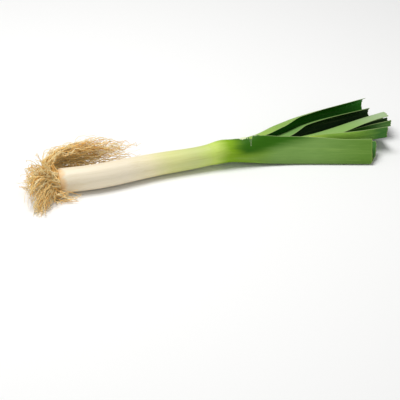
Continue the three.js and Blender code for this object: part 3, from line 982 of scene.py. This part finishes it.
class LeekRootSettings(bpy.types.PropertyGroup):
    """The roots and the disc that they grow from."""

    seed: bpy.props.IntProperty(name="Seed", description="Start of the random strands", default=11)
    strands: bpy.props.IntProperty(
        name="Strands", description="Roots in each lock", default=46, min=1, max=200,
    )
    thickness: amount("Thickness", "A root's radius where it leaves the disc, in millimetres", 0.66)
    spread: amount("Spread", "How far roots stray from their lock, in millimetres", 8.0)
    curl: amount("Curl", "How wavy the roots are", 1.15)
    disc_radius: amount("Disc radius", "The root disc's radius, in millimetres", 13.4)
    # Dark is both the roots' darkest tone and the painted shade at their feet
    dark: shade("Dark", "The darkest roots", 224, 154, 72)
    tan: shade("Tan", "Roots", 254, 203, 118)
    straw: shade("Straw", "Lighter roots", 255, 225, 154)
    pale: shade("Pale", "The lightest roots", 255, 240, 194)


class LeekStageSettings(bpy.types.PropertyGroup):
    """Camera, lights and floor."""

    azimuth: bpy.props.FloatProperty(
        name="Azimuth", description="Camera's turn round the leek", subtype="ANGLE",
        default=math.radians(-18),
    )
    elevation: bpy.props.FloatProperty(
        name="Elevation", description="Camera's height over the leek", subtype="ANGLE",
        default=math.radians(31),
    )
    distance: bpy.props.FloatProperty(
        name="Distance", description="Camera to the point that it looks at", unit="LENGTH", default=1.88,
    )
    lens: amount("Lens", "Focal length in millimetres", 135.0, 10.0, 400.0)
    floor: shade("Floor", "The pale floor", 246, 246, 245)


# ---- operators ----


class LEEK_OT_stage(bpy.types.Operator):
    """Sets the camera, the lights and the floor"""

    bl_idname = "leek.stage"
    bl_label = "Stage"

    def execute(self, context):
        settings = context.scene.leek_stage
        scene = context.scene
        target = np.array(AIM) * MM + ORIGIN
        flat = math.cos(settings.elevation)
        back = np.array([
            math.sin(settings.azimuth) * flat,
            -math.cos(settings.azimuth) * flat,
            math.sin(settings.elevation),
        ])
        data = bpy.data.cameras.new("camera")
        data.lens = settings.lens
        data.sensor_width = 36.0
        data.clip_end = 50.0
        camera = bpy.data.objects.new("camera", data)
        scene.collection.objects.link(camera)
        camera.location = Vector(target + back * settings.distance)
        camera.rotation_euler = Vector(back).to_track_quat("Z", "Y").to_euler()
        scene.camera = camera

        floor = bpy.data.meshes.new("floor")
        side = 12.0
        corners = [(-side, -side, 0), (side, -side, 0), (side, side, 0), (-side, side, 0)]
        floor.from_pydata(corners, [], [(0, 1, 2, 3)])
        floor.materials.append(floor_material(settings.floor))
        ground = bpy.data.objects.new("floor", floor)
        scene.collection.objects.link(ground)

        centre = np.array(LIT) * MM + ORIGIN
        for name, place, size, power in (
            ("key_light", (-0.35, 0.2, 1.6), 1.1, 25.0),
            ("fill_light", (0.5, -1.6, 0.9), 1.6, 3.5),
        ):
            light = bpy.data.lights.new(name, "AREA")
            light.shape = "DISK"
            light.size = size
            light.energy = power
            lamp = bpy.data.objects.new(name, light)
            scene.collection.objects.link(lamp)
            lamp.location = Vector(centre + np.array(place))
            lamp.rotation_euler = Vector(place).to_track_quat("Z", "Y").to_euler()

        world = bpy.data.worlds.new("studio")
        world.use_nodes = True
        world.node_tree.nodes["Background"].inputs["Color"].default_value = (1, 1, 1, 1)
        world.node_tree.nodes["Background"].inputs["Strength"].default_value = 0.3
        scene.world = world
        scene.view_settings.view_transform = "Standard"
        scene.view_settings.look = "None"
        return {"FINISHED"}


class LEEK_OT_shank(bpy.types.Operator):
    """Makes the white shank"""

    bl_idname = "leek.shank"
    bl_label = "Shank"

    def execute(self, context):
        settings = context.scene.leek_skin
        add_piece("white_shank", shank_mesh(settings), shank_material(settings), ["shank"])
        return {"FINISHED"}


class LEEK_OT_leaves(bpy.types.Operator):
    """Makes the six folded leaves"""

    bl_idname = "leek.leaves"
    bl_label = "Leaves"

    def execute(self, context):
        settings = context.scene.leek_skin
        for name, leaf in LEAVES.items():
            piece = name.replace("leaf", "blade")
            tear = sheath_tear if name == "outer_leaf_front" else None
            material = leaf_material(f"{piece}_skin", settings, LEAF_LOOKS[name])
            add_piece(piece, leaf_mesh(piece, leaf, settings, tear), material, [name])
        add_piece("torn_sheath_skin", membrane_mesh(), membrane_material(settings), [])
        return {"FINISHED"}


class LEEK_OT_roots(bpy.types.Operator):
    """Makes the root disc and the tuft of fine roots"""

    bl_idname = "leek.roots"
    bl_label = "Roots"

    def execute(self, context):
        settings = context.scene.leek_roots
        disc = disc_mesh(settings)
        add_piece("root_disc", disc, disc_material(settings), ["root_plate"])
        fibre = root_material(settings)
        for i, lock in enumerate(ROOT_LOCKS, 1):
            name = f"root_strands_{i:02d}"
            strands = strand_mesh(name, lock, settings.seed + i, settings)
            add_piece(name, strands, fibre, [f"root_lock_{i:02d}"])
        return {"FINISHED"}


class LEEK_PT_panel(bpy.types.Panel):
    """Lists the pieces"""

    bl_idname = "LEEK_PT_panel"
    bl_label = "Leek"
    bl_space_type = "VIEW_3D"
    bl_region_type = "UI"
    bl_category = "Leek"

    def draw(self, context):
        for operator in OPERATORS:
            self.layout.operator(operator.bl_idname)


OPERATORS = (LEEK_OT_stage, LEEK_OT_shank, LEEK_OT_leaves, LEEK_OT_roots)
SETTINGS = {"leek_skin": LeekSkinSettings, "leek_roots": LeekRootSettings, "leek_stage": LeekStageSettings}


def register():
    for kind in (*SETTINGS.values(), *OPERATORS, LEEK_PT_panel):
        bpy.utils.register_class(kind)
    for label, group in SETTINGS.items():
        setattr(bpy.types.Scene, label, bpy.props.PointerProperty(type=group))


def unregister():
    for label in SETTINGS:
        delattr(bpy.types.Scene, label)
    for kind in (LEEK_PT_panel, *OPERATORS[::-1], *SETTINGS.values()):
        bpy.utils.unregister_class(kind)


def main():
    register()
    bpy.ops.leek.stage()
    bpy.ops.leek.shank()
    bpy.ops.leek.leaves()
    bpy.ops.leek.roots()


if __name__ == "__main__":
    main()
